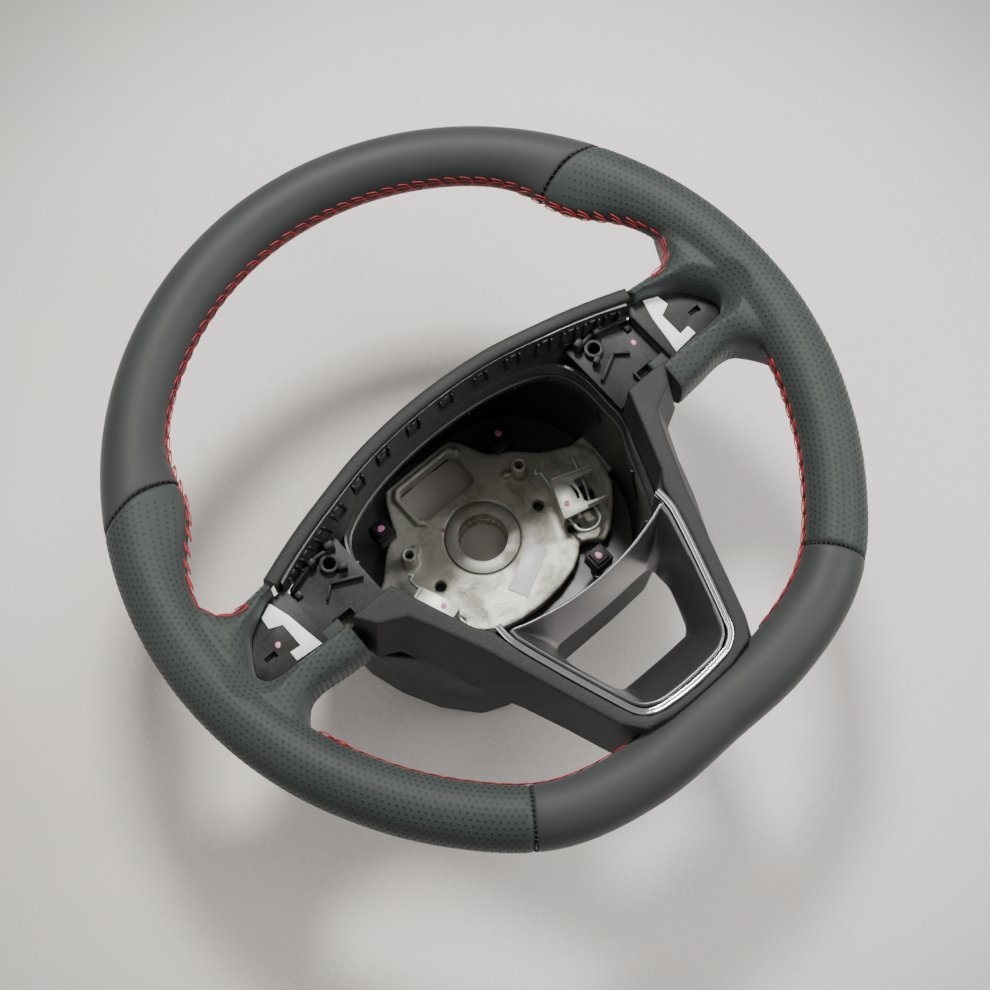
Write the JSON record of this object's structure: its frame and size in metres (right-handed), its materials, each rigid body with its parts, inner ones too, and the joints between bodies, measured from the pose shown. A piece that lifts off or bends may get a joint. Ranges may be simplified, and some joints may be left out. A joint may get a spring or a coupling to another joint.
{
  "type": "steering wheel",
  "caption": "Flat-bottomed leather-wrapped steering wheel with perforated grips, red stitching, a cast hub and an open lower spoke, its airbag and switch panels removed.",
  "frame": {"origin": "on the steering axis, in the plane of the hub's back face, where the splined bore opens", "axes": "+Z along the steering axis towards the driver, +Y to 12 o'clock, +X to 3 o'clock"},
  "size_m": [0.367, 0.3715, 0.1455],
  "materials": {
    "cast_metal": "as-cast magnesium, warm grey",
    "hub_steel": "turned",
    "rim_foam": "moulded foam",
    "leather_smooth": "smooth, matte",
    "leather_perforated": "perforated, matte",
    "carrier_plastic": "semi-matte moulded",
    "pad_white": "matte",
    "shroud_plastic": "fine grain",
    "chrome_trim": "bright",
    "insert_finish": "satin gunmetal paint",
    "bezel_plastic": "fine grain",
    "well_plastic": "semi-matte moulded",
    "cover_plastic": "fine grain",
    "bracket_steel": "zinc-plated",
    "wire_steel": "zinc-plated, bright",
    "block_plastic": "moulded, one dab of pink paint",
    "label_paper": "blank printed label"
  },
  "bodies": {
    "wheel": {"armature": "cast_metal", "hub_bush": "hub_steel", "rim_foam": "rim_foam", "leather_top": "leather_smooth", "leather_bottom": "leather_smooth", "leather_right": "leather_perforated", "leather_left": "leather_perforated", "switch_carrier_right": "carrier_plastic", "switch_carrier_left": "carrier_plastic", "adhesive_pad_right": "pad_white", "adhesive_pad_left": "pad_white", "upper_shroud": "shroud_plastic", "chrome_strip": "chrome_trim", "trim_insert": "insert_finish", "lower_bezel": "bezel_plastic", "airbag_well": "well_plastic", "rear_cover": "cover_plastic", "spring_bracket_right": "bracket_steel", "spring_bracket_left": "bracket_steel", "label": "label_paper"},
    "wire_spring_right": {"wire_spring_right": "wire_steel"},
    "wire_spring_left": {"wire_spring_left": "wire_steel"},
    "contact_block_upper_right": {"contact_block_upper_right": "block_plastic"},
    "contact_block_upper_left": {"contact_block_upper_left": "block_plastic"},
    "contact_block_lower_right": {"contact_block_lower_right": "block_plastic"},
    "contact_block_lower_left": {"contact_block_lower_left": "block_plastic"}
  },
  "joints": [
    {"name": "hook_spring_right", "type": "slide", "parent": "wheel", "child": "wire_spring_right", "axis": [0.9336, -0.3584, 0], "range_m": [0, 0.002], "stiffness_N_per_m": 3000},
    {"name": "hook_spring_left", "type": "slide", "parent": "wheel", "child": "wire_spring_left", "axis": [-0.9336, -0.3584, 0], "range_m": [0, 0.002], "stiffness_N_per_m": 3000},
    {"name": "contact_press_upper_right", "type": "slide", "parent": "wheel", "child": "contact_block_upper_right", "axis": [0, 0, 1], "range_m": [-0.002, 0], "stiffness_N_per_m": 4000},
    {"name": "contact_press_upper_left", "type": "slide", "parent": "wheel", "child": "contact_block_upper_left", "axis": [0, 0, 1], "range_m": [-0.002, 0], "stiffness_N_per_m": 4000},
    {"name": "contact_press_lower_right", "type": "slide", "parent": "wheel", "child": "contact_block_lower_right", "axis": [0, 0, 1], "range_m": [-0.002, 0], "stiffness_N_per_m": 4000},
    {"name": "contact_press_lower_left", "type": "slide", "parent": "wheel", "child": "contact_block_lower_left", "axis": [0, 0, 1], "range_m": [-0.002, 0], "stiffness_N_per_m": 4000}
  ]
}
